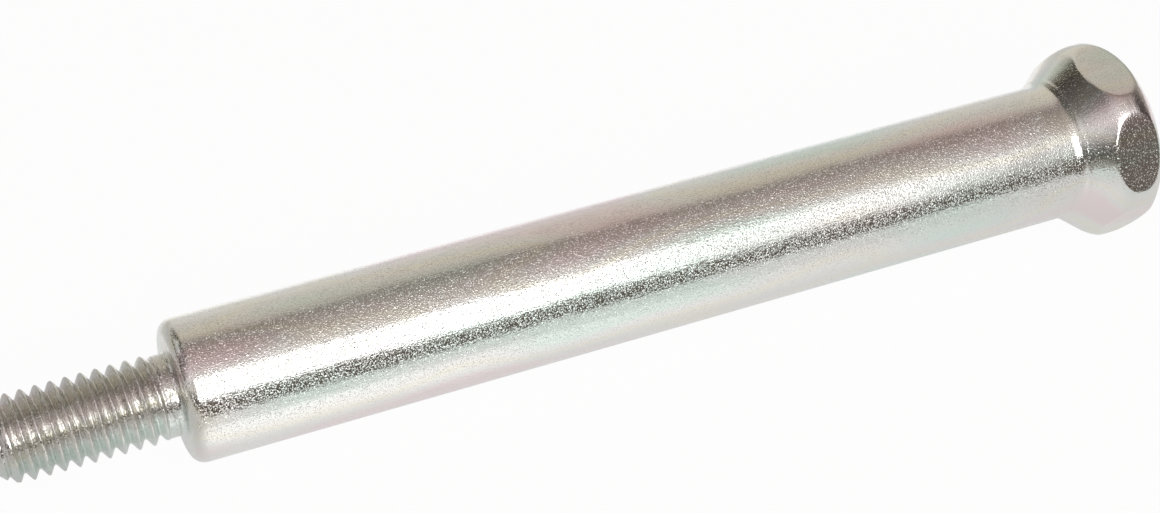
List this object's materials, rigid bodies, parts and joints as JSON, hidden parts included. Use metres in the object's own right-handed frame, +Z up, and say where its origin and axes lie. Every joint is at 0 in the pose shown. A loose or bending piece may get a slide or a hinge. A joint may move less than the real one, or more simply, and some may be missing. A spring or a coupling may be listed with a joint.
{
  "type": "shoulder bolt",
  "caption": "Shoulder bolt with a long plain cylindrical shank, a reduced threaded end beyond a flat shoulder, and a round-crowned hex head with oval flats.",
  "frame": {"origin": "centre of the flat shoulder face on the bolt's axis, where the shank meets the threaded end", "axes": "+X along the bolt's axis towards the head, +Z up, square to one of the head's flats, with the opposite flat underneath"},
  "size_m": [0.135, 0.0228, 0.0208],
  "materials": {
    "zinc_plated_steel": "bright clear zinc plating over turned steel, finely grained, with faint green and pink tints"
  },
  "bodies": {
    "root": {"shoulder_bolt": "zinc_plated_steel"}
  },
  "joints": []
}
